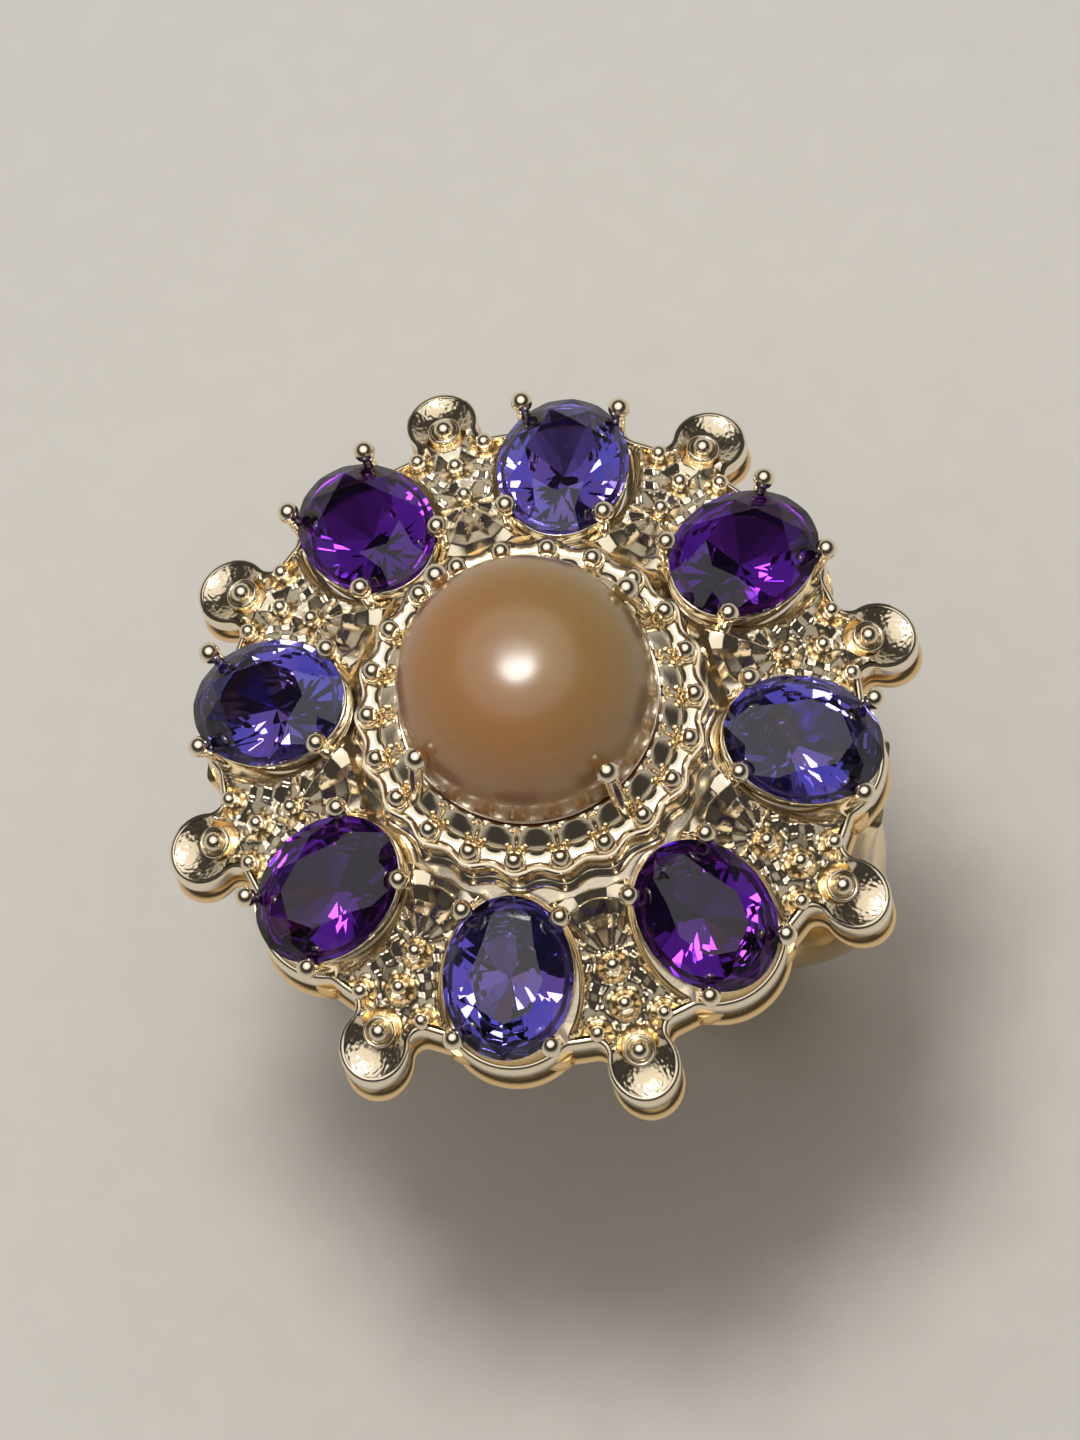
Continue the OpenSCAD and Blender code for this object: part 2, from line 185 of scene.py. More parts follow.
# %% Shader helpers
class Wire:
    """One value on its way through a material."""

    def __init__(self, tree, socket):
        self.tree = tree
        self.socket = socket

    def math(self, operation, *values, clamp=False):
        node = self.tree.nodes.new("ShaderNodeMath")
        node.operation = operation
        node.use_clamp = clamp
        for place, value in enumerate(values):
            if isinstance(value, Wire):
                self.tree.links.new(value.socket, node.inputs[place])
            else:
                node.inputs[place].default_value = value
        return Wire(self.tree, node.outputs[0])

    def __add__(self, other):
        return self.math("ADD", self, other)

    __radd__ = __add__

    def __mul__(self, other):
        return self.math("MULTIPLY", self, other)

    __rmul__ = __mul__

    def __sub__(self, other):
        return self.math("SUBTRACT", self, other)

    def __rsub__(self, other):
        return self.math("SUBTRACT", other, self)

    def clamp(self):
        return self.math("ADD", self, 0.0, clamp=True)


class Finish:
    """One material, with the sockets of its shader by name."""

    def __init__(self, name, **constants):
        self.material = bpy.data.materials.new(name)
        self.material.use_nodes = True
        self.tree = self.material.node_tree
        self.shader = self.tree.nodes["Principled BSDF"]
        for socket, value in constants.items():
            self.shader.inputs[socket.replace("_", " ")].default_value = value

    def node(self, kind, settings=None, output=0, **values):
        node = self.tree.nodes.new(kind)
        for key, value in (settings or {}).items():
            if key == "stops":
                ramp = node.color_ramp
                while len(ramp.elements) < len(value):
                    ramp.elements.new(0.5)
                for element, (position, colour) in zip(ramp.elements, value):
                    element.position = position
                    element.color = colour
            else:
                setattr(node, key, value)
        for socket, value in values.items():
            numbered = socket[0] == "i" and socket[1:].isdigit()
            place = int(socket[1:]) if numbered else socket.replace("_", " ")
            if isinstance(value, Wire):
                self.tree.links.new(value.socket, node.inputs[place])
            else:
                node.inputs[place].default_value = value
        return Wire(self.tree, node.outputs[output])

    def place(self):
        """The piece's own coordinates, in millimetres."""
        metres = self.node("ShaderNodeTexCoord", output=3)
        return self.node("ShaderNodeVectorMath", {"operation": "SCALE"}, Vector=metres, Scale=1 / MM)

    def cloud(self, where, scale, detail=3.0, roughness=0.5):
        return self.node(
            "ShaderNodeTexNoise", Vector=where, Scale=scale, Detail=detail, Roughness=roughness
        )

    def blend(self, factor, first, second):
        settings = {"data_type": "RGBA"}
        return self.node("ShaderNodeMix", settings, output=2, i0=factor, i6=first, i7=second)

    def feed(self, socket, wire):
        self.tree.links.new(wire.socket, self.shader.inputs[socket])

    def bump(self, height, strength, distance):
        normal = self.node("ShaderNodeBump", Height=height, Strength=strength, Distance=distance)
        self.feed("Normal", normal)


# %% [markdown]
# ## Gold
# Polished yellow gold is never one colour: the alloy drifts a little between paler and richer in soft
# random patches, and the low places of the petals are painted darker and warmer as painted shade. Fine
# polishing scratches and the soft ripple of a casting break up the reflections, and they change the
# roughness more than the colour.

# %% Gold finishes
PALE_GOLD = (0.96, 0.87, 0.71, 1)
RICH_GOLD = (0.93, 0.79, 0.55, 1)
PAINTED_SHADE_GOLD = (0.78, 0.56, 0.30, 1)


def gold(name, pale, rich, rough, ripple, shade_attribute=None):
    finish = Finish(name, Metallic=1.0)
    where = finish.place()
    patches = finish.cloud(where, 0.55, 4.0, 0.6)
    grain = finish.cloud(where, 9.0, 4.0, 0.65)
    stretched = finish.node(
        "ShaderNodeMapping", Vector=where, Scale=(1.5, 26.0, 9.0), Rotation=(0.4, 0.2, 0.7)
    )
    scratches = finish.cloud(stretched, 2.4, 3.0, 0.7)
    tone = (patches * 1.6 - 0.3).clamp()
    colour = finish.blend(tone, rich, pale)
    # painted shade: where the mesh attribute marks a low place, the colour is blended towards a darker,
    # warmer gold
    if shade_attribute is not None:
        hollow = finish.node("ShaderNodeAttribute", {"attribute_name": shade_attribute}, output=2)
        colour = finish.blend(hollow * 0.4, colour, PAINTED_SHADE_GOLD)
    finish.feed("Base Color", colour)
    finish.feed("Roughness", (grain * 0.10 + scratches * 0.12 + (rough - 0.11)).clamp())
    finish.bump(grain * 0.6 + scratches * 0.4, ripple, 0.00001)
    return finish.material


bright_gold = gold("bright gold", PALE_GOLD, RICH_GOLD, 0.13, 0.18)
# the petals' gold carries painted shade in their low places
petal_gold = gold("petal gold", PALE_GOLD, RICH_GOLD, 0.14, 0.25, shade_attribute="hollow")
# painted shade: the gold under the plate is a darker, more orange copy of the same metal
gallery_gold_painted_shade = gold("gallery gold", (0.93, 0.70, 0.38, 1), (0.86, 0.56, 0.24, 1), 0.22, 0.35)
band_gold = gold("band gold", (0.94, 0.78, 0.50, 1), (0.90, 0.69, 0.38, 1), 0.20, 0.25)
print("gold finishes:", [m.name for m in bpy.data.materials])

# %% [markdown]
# ## Stones
# A faceted stone is coloured glass with a high refractive index: the facets below the girdle throw the
# light back, so the material stays clear and the cut does the work. Tanzanite turns between blue and
# violet, so its colour is zoned, and its table facet is painted darker and brownish, a painted
# reflection; the amethyst's table is painted a darker plum the same way. The cabochon is milky inside,
# so light spreads in it, and its colour drifts from olive to orange with pale wisps and a scatter of fine
# specks; towards its base it turns a deeper, darker orange, partly its own colour and partly painted shade.

# %% Stone finishes
def faceted(name, first, second, index, zone, table_reflection):
    finish = Finish(name, Transmission_Weight=1.0, IOR=index, Roughness=0.01, Specular_IOR_Level=0.42)
    where = finish.place()
    zones = finish.cloud(where, zone, 2.0, 0.5)
    zoned = finish.blend((zones * 2.0 - 0.5).clamp(), first, second)
    # painted reflection: the table facet's colour is blended towards a darker tint that stands in for the
    # dark reflection seen in the table
    table = finish.node("ShaderNodeAttribute", {"attribute_name": "table"}, output=2)
    finish.feed("Base Color", finish.blend(table * (zones + 0.2), zoned, table_reflection))
    wear = finish.cloud(where, 14.0, 3.0, 0.6)
    finish.feed("Roughness", wear * 0.03 + 0.002)
    return finish.material


# each stone's third colour is a painted dark reflection for its table
BLUE, VIOLET, BROWN_REFLECTION = (0.04, 0.05, 0.42, 1), (0.13, 0.09, 0.52, 1), (0.13, 0.05, 0.14, 1)
DARK_PURPLE, PURPLE, PLUM_REFLECTION = (0.03, 0.004, 0.14, 1), (0.10, 0.014, 0.30, 1), (0.05, 0.006, 0.12, 1)
tanzanite_glass = faceted("tanzanite", BLUE, VIOLET, 1.70, 0.5, BROWN_REFLECTION)
amethyst_glass = faceted("amethyst", DARK_PURPLE, PURPLE, 1.55, 0.4, PLUM_REFLECTION)


def milky_opal():
    finish = Finish(
        "opal",
        Subsurface_Weight=0.55,
        Subsurface_Radius=(1.6, 0.9, 0.4),
        Subsurface_Scale=0.0012,
        Transmission_Weight=0.0,
        IOR=1.45,
        Coat_Weight=0.5,
        Coat_Roughness=0.17,
    )
    where = finish.place()
    drift = finish.cloud(where, 0.22, 3.0, 0.5)
    axes = finish.node("ShaderNodeSeparateXYZ", Vector=where)
    across = Wire(finish.tree, axes.socket.node.outputs[0])
    along = Wire(finish.tree, axes.socket.node.outputs[1])
    up = Wire(finish.tree, axes.socket.node.outputs[2])
    olive = (across * 0.16 + along * 0.12 + drift * 0.9 - 0.15).clamp()
    # partly painted shade: towards its base the cabochon is blended to a darker, deeper orange, partly the
    # stone's own colour and partly shade on its lower sides
    rim = ((seat_z + 2.2 - up) * 0.42 + drift * 0.25).clamp()
    body = finish.blend(olive, (0.41, 0.21, 0.085, 1), (0.31, 0.205, 0.075, 1))
    warm = finish.blend(rim, body, (0.34, 0.11, 0.015, 1))
    wisps = (finish.cloud(where, 0.45, 6.0, 0.6) * 5.0 - 2.6).clamp()
    warm = finish.blend(wisps * 0.3, warm, (0.47, 0.33, 0.15, 1))
    specks = finish.node("ShaderNodeTexVoronoi", {"feature": "F1"}, Vector=where, Scale=2.6)
    dots = (1.0 - specks * 9.0).clamp()
    finish.feed("Base Color", finish.blend(dots * 0.3, warm, (0.60, 0.36, 0.18, 1)))
    haze = finish.cloud(where, 3.0, 3.0, 0.5)
    finish.feed("Roughness", haze * 0.08 + 0.22)
    finish.bump(haze, 0.03, 0.00002)
    return finish.material


opal_milk = milky_opal()
print("stone finishes ready")


# %% [markdown]
# ## Bench tools
# Three helpers do the repeated work: lathe() spins an outline round Z, into() sets one part into
# another, and finish_piece() cleans a mesh, shrinks it to metres, gives it its finish and hides the CAD
# piece it stands for.

# %% Bench tools
def outline(bm, points, closed=False):
    """A chain of edges through (x, y, z) points."""
    verts = [bm.verts.new(p) for p in points]
    pairs = list(zip(verts, verts[1:]))
    if closed:
        pairs.append((verts[-1], verts[0]))
    return verts, [bm.edges.new(pair) for pair in pairs]


def lathe(bm, profile, steps=96, closed=True):
    """Spins a profile of (r, z) points once round Z."""
    verts, edges = outline(bm, [(r, 0, z) for r, z in profile], closed)
    bmesh.ops.spin(
        bm, geom=verts + edges, cent=(0, 0, 0), axis=(0, 0, 1), angle=math.tau, steps=steps, use_merge=True
    )
    bmesh.ops.remove_doubles(bm, verts=bm.verts, dist=1e-5)


def into(bm, part, matrix):
    """Copies one bmesh into another through a matrix."""
    mesh = bpy.data.meshes.new("part")
    part.to_mesh(mesh)
    mesh.transform(matrix)
    if matrix.determinant() < 0:
        mesh.flip_normals()
    bm.from_mesh(mesh)
    bpy.data.meshes.remove(mesh)


def finish_piece(name, bm, material, node, sharp=35.0):
    bmesh.ops.remove_doubles(bm, verts=bm.verts, dist=1e-5)
    bmesh.ops.recalc_face_normals(bm, faces=bm.faces)
    bmesh.ops.scale(bm, vec=(MM, MM, MM), verts=bm.verts)
    mesh = bpy.data.meshes.new(name)
    bm.to_mesh(mesh)
    bm.free()
    for face in mesh.polygons:
        face.use_smooth = True
    if sharp < 180:
        mesh.set_sharp_from_angle(angle=math.radians(sharp))
    mesh.materials.append(material)
    piece = bpy.data.objects.new(name, mesh)
    bpy.context.scene.collection.objects.link(piece)
    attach(piece, "root")
    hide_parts(node)
    return piece


def turned(index):
    """A turn about the head's axis, counted in stones."""
    return Matrix.Rotation(index * SECTOR, 4, "Z")


# %% [markdown]
# ## The band
# The band is D-shaped in section: flat on the finger, domed outside, and slimmer at the back of the
# hand. One section is spun almost all the way round, and then drawn in towards the back.

# %% Band
BAND_W = band_high[1] - band_low[1]
BACK_SHARE = 2.8 / BAND_W


def d_section(half, flat_r, dome_r, edge):
    """A D-section of (r, y) points with softened edges."""
    points = [(flat_r, -half + edge * 0.5), (flat_r, half - edge * 0.5)]
    points += [(flat_r + edge * 0.25, half - edge * 0.15), (flat_r + edge * 0.6, half)]
    arc = 14
    for k in range(arc + 1):
        turn = math.pi * (k / arc)
        reach = math.cos(turn)
        rise = (dome_r - flat_r - edge) * math.sin(turn) ** 0.8
        points.append((flat_r + edge + rise, half * reach * 0.995))
    points += [(flat_r + edge * 0.6, -half), (flat_r + edge * 0.25, -half + edge * 0.15)]
    return points


def band():
    bm = bmesh.new()
    opening = math.radians(33)
    section = d_section(BAND_W / 2, FINGER_R, band_r, 0.5)
    start = math.pi / 2 - opening
    points = [(r * math.cos(start), y, r * math.sin(start)) for r, y in section]
    verts, edges = outline(bm, points, closed=True)
    bmesh.ops.contextual_create(bm, geom=edges)
    loop = bmesh.ops.spin(
        bm,
        geom=verts + edges,
        cent=(0, 0, 0),
        axis=(0, 1, 0),
        angle=math.tau - 2 * opening,
        steps=120,
    )
    last = [e for e in loop["geom_last"] if isinstance(e, bmesh.types.BMEdge)]
    bmesh.ops.contextual_create(bm, geom=last)
    for vert in bm.verts:
        height = min(max((vert.co.z + band_r) / (band_r + 3.0), 0.0), 1.0)
        share = height * height * (3 - 2 * height)
        vert.co.y *= BACK_SHARE + (1 - BACK_SHARE) * share
    return bm


shank = finish_piece("shank", band(), band_gold, "shank", 50)
print("band:", len(shank.data.polygons), "faces")

# %% [markdown]
# ## Shoulders
# Each shoulder is a web that rises from the side of the band to the lower rail and carries the edge of
# the wide head. It starts as a flat outline, is given its width, and its edges are rounded off.

# %% Shoulders
def under_rail(r):
    return plate_z(r, -PLATE_T - GAP - RAIL_H)


def shoulder(side):
    bm = bmesh.new()
    inner_r = gallery_r - 0.3
    points = []
    for k in range(13):
        turn = math.radians(58 - k * 50 / 12)
        points.append(((FINGER_R + 0.5) * math.cos(turn), (FINGER_R + 0.5) * math.sin(turn)))
    points += [(band_r - 0.35, 1.55), (band_r - 0.12, 2.3), (band_r + 0.02, 3.4), (band_r + 0.22, 6.0)]
    points += [(r, under_rail(r)) for r in (BODY_R + 0.5, 8.0, inner_r)]
    verts, edges = outline(bm, [(side * x, -1.85, z) for x, z in points], closed=True)
    face = bmesh.ops.contextual_create(bm, geom=edges)["faces"]
    grown = bmesh.ops.extrude_face_region(bm, geom=face)
    moved = [v for v in grown["geom"] if isinstance(v, bmesh.types.BMVert)]
    bmesh.ops.translate(bm, vec=(0, 3.7, 0), verts=moved)
    rims = [e for e in bm.edges if abs(e.verts[0].co.y - e.verts[1].co.y) < 1e-6]
    bmesh.ops.bevel(
        bm, geom=rims, offset=0.45, offset_type="OFFSET", affect="EDGES", segments=5, profile=0.5, material=-1
    )
    for vert in bm.verts:
        rise = min(max((vert.co.z - 2.0) / 6.5, 0.0), 1.0)
        grow = min(max((vert.co.z - 1.5) / 4.5, 0.0), 1.0)
        vert.co.y *= (0.45 + 0.55 * grow * (2 - grow)) * (1.0 - 0.16 * rise)
    return bm


for side, word in ((-1, "left"), (1, "right")):
    finish_piece("shoulder_" + word, shoulder(side), band_gold, "shoulder_" + word, 40)
print("shoulders: 2")

# %% [markdown]
# ## The round gallery
# Under the plate, a round wall stands on the finger and lets light up to the cabochon. Its foot follows
# the finger, so the lathe turns the wall too long and each point of its foot is lifted onto the curve.

# %% Round gallery
def round_gallery():
    bm = bmesh.new()
    wall = 0.9
    top = plate_z(gallery_r - wall / 2, -PLATE_T + 0.05)
    inner = gallery_r - wall
    profile = [(inner, 0.12), (inner + 0.12, 0), (gallery_r - 0.12, 0), (gallery_r, 0.12)]
    profile += [(gallery_r, 0.5), (gallery_r, 1), (inner, 1), (inner, 0.5)]
    lathe(bm, profile, 128)
    for vert in bm.verts:
        reach = min(abs(vert.co.x), FINGER_R)
        foot = math.sqrt(FINGER_R * FINGER_R - reach * reach)
        share = vert.co.z
        vert.co.z = foot + (top - foot) * share
    return bm


finish_piece("round_gallery", round_gallery(), gallery_gold_painted_shade, "base_ring")
print("round gallery done")


# %% [markdown]
# ## The scalloped outline
# The head's edge repeats eight times: a round end under a stone, a small hollow, a lobe, a small
# hollow. Every stretch is an arc, so one function walks along one eighth and gives points and the
# direction that faces outwards, and the pieces of the head all follow it.

# %% Scalloped outline
def arc_points(centre, radius, start, end, count):
    """Points on an arc, each with the outward direction as it is for a bulge or a hollow."""
    bulge = 1 if end > start else -1
    made = []
    for k in range(count):
        turn = start + (end - start) * (k + 0.5) / count
        out = (math.cos(turn) * bulge, math.sin(turn) * bulge)
        made.append(((centre[0] + radius * math.cos(turn), centre[1] + radius * math.sin(turn)), out))
    return made


def hollow_centre(bulge_centre_r, bulge_r):
    """Centre of the small arc that touches the round body and a bulge, for a bulge on the X axis."""
    a = BODY_R + NECK_R
    b = bulge_r + NECK_R
    x = (bulge_centre_r**2 + a * a - b * b) / (2 * bulge_centre_r)
    return x, math.sqrt(a * a - x * x)


def eighth():
    """One eighth of the edge, from the middle of a stone's end to the next."""
    end_r = stone_l / 2 - END_INSET
    hx, hy = hollow_centre(stone_ring, end_r)
    lx, ly = hollow_centre(LOBE_RING, LOBE_R)
    near = math.atan2(hy, hx - stone_ring)
    stone_arc = arc_points((stone_ring, 0), end_r, 0, near, 14)
    back = math.atan2(hy, hx)
    dip = arc_points((hx, hy), NECK_R, math.pi + near, math.pi + back, 4)
    half = SECTOR / 2
    # the lobe's side, worked out with the lobe on the X axis and turned into place
    touch = math.atan2(ly, lx - LOBE_RING)
    meet = math.atan2(ly, lx)
    flare = arc_points((lx, -ly), NECK_R, math.pi - meet, math.pi - touch, 12)
    lobe = arc_points((LOBE_RING, 0), LOBE_R, -touch, 0, 16)
    body_from, body_to = back, half - meet
    body = arc_points((0, 0), BODY_R, body_from, body_to, 6) if body_to > body_from else []
    cos, sin = math.cos(half), math.sin(half)

    def turn(pair):
        return tuple((x * cos - y * sin, x * sin + y * cos) for x, y in pair)

    return stone_arc + dip + body + [turn(p) for p in flare + lobe]


def full_edge():
    """The whole edge: an eighth, its mirror image, and then eight turns of the two."""
    c, s = math.cos(SECTOR), math.sin(SECTOR)

    def mirrored(x, y):
        return x * c + y * s, x * s - y * c

    part = eighth()
    part = part + [(mirrored(*point), mirrored(*out)) for point, out in reversed(part)]
    edge = []
    for k in range(STONES):
        cos, sin = math.cos(k * SECTOR), math.sin(k * SECTOR)
        for (x, y), (u, v) in part:
            edge.append(((x * cos - y * sin, x * sin + y * cos), (u * cos - v * sin, u * sin + v * cos)))
    return edge


EDGE = full_edge()
print("edge points:", len(EDGE), "reach", round(max(math.hypot(*p) for p, _ in EDGE), 2))


def edge_loop(bm, inset, lift):
    """The scalloped edge as a loop, moved inwards and lifted off the plate's slope."""
    points = []
    for (x, y), (u, v) in EDGE:
        px, py = x - u * inset, y - v * inset
        points.append((px, py, plate_z(math.hypot(px, py), lift)))
    return outline(bm, points, closed=True)[1]


def stack_loops(bm, stations, closed):
    """Bridges a row of edge loops, given as (inset, lift)."""
    loops = [edge_loop(bm, inset, lift) for inset, lift in stations]
    pairs = list(zip(loops, loops[1:]))
    if closed:
        pairs.append((loops[-1], loops[0]))
    for first, second in pairs:
        bmesh.ops.bridge_loops(bm, edges=first + second)
    return loops


# %% [markdown]
# ## The lower rail and its posts
# The lower rail is a flat wire bent along the outline, with all its corners rubbed round. The posts
# between it and the plate are waisted, as a saw-pierced gallery is after filing.

# %% Lower rail
def rounded_ring(inset0, inset1, low, high, soft):
    """Stations round a flat wire whose four corners are rounded."""
    stations = []
    corners = [(inset0 + soft, high - soft, 90), (inset1 - soft, high - soft, 0)]
    corners += [(inset1 - soft, low + soft, -90), (inset0 + soft, low + soft, -180)]
    for inset, lift, start in corners:
        for k in range(4):
            turn = math.radians(start + 90 - 30 * k)
            stations.append((inset + soft * math.cos(turn), lift + soft * math.sin(turn)))
    return stations


def lower_rail():
    bm = bmesh.new()
    low = -PLATE_T - GAP - RAIL_H
    stack_loops(bm, rounded_ring(0.0, RAIL_W, low, low + RAIL_H, 0.16), closed=True)
    return bm


finish_piece("lower_rail", lower_rail(), gallery_gold_painted_shade, "gallery_rail")


def waisted_post(bm, r, angle, thick, wide):
    """A post at a place on the head, flared where it meets the plate and the rail."""
    part = bmesh.new()
    profile = []
    for k in range(11):
        t = k / 10
        profile.append((thick * (1 + 0.45 * (2 * t - 1) ** 4), t))
    lathe(part, [(0, 0)] + profile + [(0, 1)], 20, closed=False)
    low, high = plate_z(r, -PLATE_T - GAP - 0.06), plate_z(r, -PLATE_T + 0.06)
    place = Matrix.Rotation(angle, 4, "Z") @ Matrix.Translation((r, 0, low))
    into(bm, part, place @ Matrix.Diagonal((1, wide, high - low, 1)))
    part.free()


def posts(r, angle, thick, wide):
    bm = bmesh.new()
    for k in range(STONES):
        for sign in ((1, -1) if angle else (1,)):
            waisted_post(bm, r, k * SECTOR + sign * angle + (0 if angle else SECTOR / 2), thick, wide)
    return bm


CLAW_X = 0.392 * stone_l
CLAW_Y = 0.375 * stone_w
claw_angle = math.atan2(CLAW_Y, stone_ring + CLAW_X)
claw_posts = posts(BODY_R - 0.1, claw_angle, 0.25, 1.35)
finish_piece("claw_posts", claw_posts, gallery_gold_painted_shade, "claw_posts")
lobe_posts = posts(LOBE_RING + LOBE_R - 0.52, 0, 0.3, 1.3)
finish_piece("lobe_posts", lobe_posts, gallery_gold_painted_shade, "lobe_posts")
print("rail and posts done")

# %% [markdown]
# ## The head plate
# The plate is a sloping sheet with a raised wire along its edge. Loops of the scalloped outline, each
# moved in and up a little, are bridged into the rounded edge; the last loops run in to the light hole.
# Oval holes for the baskets are then sawn out with a Boolean, so the stones have open backs.

# %% Head plate
def plate_edge():
    stations = [(0.75, -PLATE_T), (0.12, -PLATE_T), (0.03, -PLATE_T + 0.05)]
    stations += [(0.0, -PLATE_T + 0.14), (0.0, -0.02)]
    stations += [(0.0, RIM_H - 0.08), (0.03, RIM_H - 0.02), (0.09, RIM_H), (0.15, RIM_H - 0.02)]
    stations += [(RIM_W, RIM_H - 0.1), (RIM_W + 0.03, 0.04), (RIM_W + 0.1, 0.0), (0.75, 0.0)]
    return stations


def head_plate():
    bm = bmesh.new()
    loops = stack_loops(bm, plate_edge(), closed=False)
    inner = []
    for lift in (-PLATE_T, 0.0):
        points = []
        for (x, y), _ in EDGE:
            turn = math.atan2(y, x)
            r = LIGHT_HOLE_R
            points.append((r * math.cos(turn), r * math.sin(turn), plate_z(r, lift)))
        inner.append(outline(bm, points, closed=True)[1])
    bmesh.ops.bridge_loops(bm, edges=loops[0] + inner[0])
    bmesh.ops.bridge_loops(bm, edges=loops[-1] + inner[1])
    bmesh.ops.bridge_loops(bm, edges=inner[0] + inner[1])
    return bm


def stone_place(index):
    """The matrix that carries a stone's own frame to its place on the head."""
    return (
        turned(index)
        @ Matrix.Translation((stone_ring, 0, head_z))
        @ Matrix.Rotation(TILT, 4, "Y")
    )


def saw_out(piece, cutter_bm):
    """Cuts one mesh out of a finished piece and keeps the result as plain mesh."""
    bmesh.ops.recalc_face_normals(cutter_bm, faces=cutter_bm.faces)
    bmesh.ops.scale(cutter_bm, vec=(MM, MM, MM), verts=cutter_bm.verts)
    mesh = bpy.data.meshes.new("cutter")
    cutter_bm.to_mesh(mesh)
    cutter_bm.free()
    cutter = bpy.data.objects.new("cutter", mesh)
    bpy.context.scene.collection.objects.link(cutter)
    saw = piece.modifiers.new("saw", "BOOLEAN")
    saw.operation = "DIFFERENCE"
    saw.object = cutter
    saw.solver = "MANIFOLD"
    depsgraph = bpy.context.evaluated_depsgraph_get()
    result = bpy.data.meshes.new_from_object(piece.evaluated_get(depsgraph))
    piece.modifiers.clear()
    piece.data = result
    bpy.data.objects.remove(cutter)
    bpy.data.meshes.remove(mesh)


plate = finish_piece("head_plate", head_plate(), bright_gold, "head_plate")
holes = bmesh.new()
for index in range(STONES):
    hole = bmesh.new()
    bmesh.ops.create_cone(hole, cap_ends=True, segments=48, radius1=1, radius2=1, depth=5)
    into(holes, hole, stone_place(index) @ Matrix.Diagonal((stone_l / 2 - 0.12, stone_w / 2 - 0.12, 1, 1)))
    hole.free()
saw_out(plate, holes)
for face in plate.data.polygons:
    face.use_smooth = True
plate.data.set_sharp_from_angle(angle=math.radians(35))
print("head plate:", len(plate.data.polygons), "faces")

# %% [markdown]
# ## Petals
# Between two stones lies a raised petal. Each bead on it stands in its own bright-cut hollow, and
# where two hollows meet they leave a crisp ridge. That is what makes this part of the ring glitter.
# The surface starts as a grid. Each row is as wide as the room between the two baskets, and each point
# is raised by its distance from the nearest bead. The lobe at the end is hollowed like a spoon.

# %% Petals
BEADS = [(LOBE_RING - 1.13, 6.3), (LOBE_RING - 1.13, -6.3), (LOBE_RING - 1.76, 0), (LOBE_RING - 2.89, 0)]
BEAD_SPOTS = [(r * math.cos(math.radians(a)), r * math.sin(math.radians(a))) for r, a in BEADS]
BEAD = 0.27
CUP_X = LOBE_RING - 0.5
CUP_R = 0.52
PETAL_START = 5.75
WIDEST = 1.95


def room_beside_stone(x):
    """Half the room between the two neighbouring stones, at distance x along the petal."""
    a = stone_l / 2 * math.cos(TILT) + 0.06
    b = stone_w / 2 + 0.06
    cx, cy = stone_ring * math.cos(SECTOR / 2), stone_ring * math.sin(SECTOR / 2)
    c, s = math.cos(SECTOR / 2), math.sin(SECTOR / 2)
    # the ellipse along the line at x is a quadratic in y
    dx = x - cx
    qa = (s / a) ** 2 + (c / b) ** 2
    qb = 2 * dx * c * s * (1 / a**2 - 1 / b**2)
    qc = (dx * c / a) ** 2 + (dx * s / b) ** 2 - 1
    under = qb * qb - 4 * qa * qc
    if under <= 0:
        return 9.0
    return cy + (-qb - math.sqrt(under)) / (2 * qa)


def petal_half_width(x):
    """Half the petal's width at distance x: the edge of the plate or the stones set the limit."""
    inset = RIM_W + 0.03
    lobe_r = LOBE_R - inset
    hx, hy = hollow_centre(LOBE_RING, LOBE_R)
    hollow_r = NECK_R + inset
    if x >= LOBE_RING - 0.25:
        return math.sqrt(max(lobe_r**2 - (x - LOBE_RING) ** 2, 0.0))
    body = math.sqrt(max((BODY_R - inset) ** 2 - x * x, 0.0))
    limit = hy - math.sqrt(hollow_r**2 - (x - hx) ** 2) if abs(x - hx) < hollow_r else body
    return min(limit, room_beside_stone(x), WIDEST)


def pit(x, y, bead):
    """Height of a six-sided cut round one bead: flat facets that rise away from it."""
    bx, by = bead
    start = 0.35 * bx + 0.9 * by
    turns = [start + k * math.pi / 3 for k in range(6)]
    reach = max((x - bx) * math.cos(turn) + (y - by) * math.sin(turn) for turn in turns)
    return 0.14 + 0.80 * max(reach - BEAD, 0.0)


def fold(value):
    """A zigzag between 0 and 1 with crisp turns, one up and down for every 2."""
    return abs((value % 2.0) - 1.0)


def petal_height(x, y, half):
    """Height of the petal's surface above the plate."""
    side = abs(y)
    cut = min(pit(x, y, bead) for bead in BEAD_SPOTS)
    roof = 0.30 + 0.12 * fold((x + 0.6 * side) / 0.30) + 0.12 * fold((0.6 * x - side) / 0.30)
    fan_x = BEAD_SPOTS[3][0] - 0.2
    if x < fan_x - 0.2:
        from_fan = math.hypot(fan_x - x, y)
        roof = 0.20 + 0.20 * fold(math.atan2(side, fan_x - x) / 0.26) * min(from_fan, 1.1)
        roof += 0.10 * fold(from_fan / 0.42)
    height = min(cut, roof)
    line = (1 - side / half) * 30
    if line < 6 and x < CUP_X - 0.3:
        height = 0.27 + 0.07 * (1 - fold(line)) + 0.01 * line
    from_cup = math.hypot(x - CUP_X, y)
    lobe = math.hypot(x - LOBE_RING - 0.05, y) / (LOBE_R - RIM_W)
    if x > CUP_X - 0.1 and lobe < 1.25:
        rough = noise.noise(Vector((x * 11.0, y * 11.0, 2.0))) * 0.022 * min(lobe * 1.5, 1.0)
        spoon = 0.02 + 0.27 * min(lobe, 1.0) ** 2.2 + rough
        share = min(max((x - CUP_X + 0.1) / 0.25, 0.0), 1.0)
        height = height * (1 - share) + spoon * share
    if from_cup < CUP_R + 0.12:
        height = min(height, 0.05 + max(from_cup - CUP_R, 0) * 2.5)
    return height


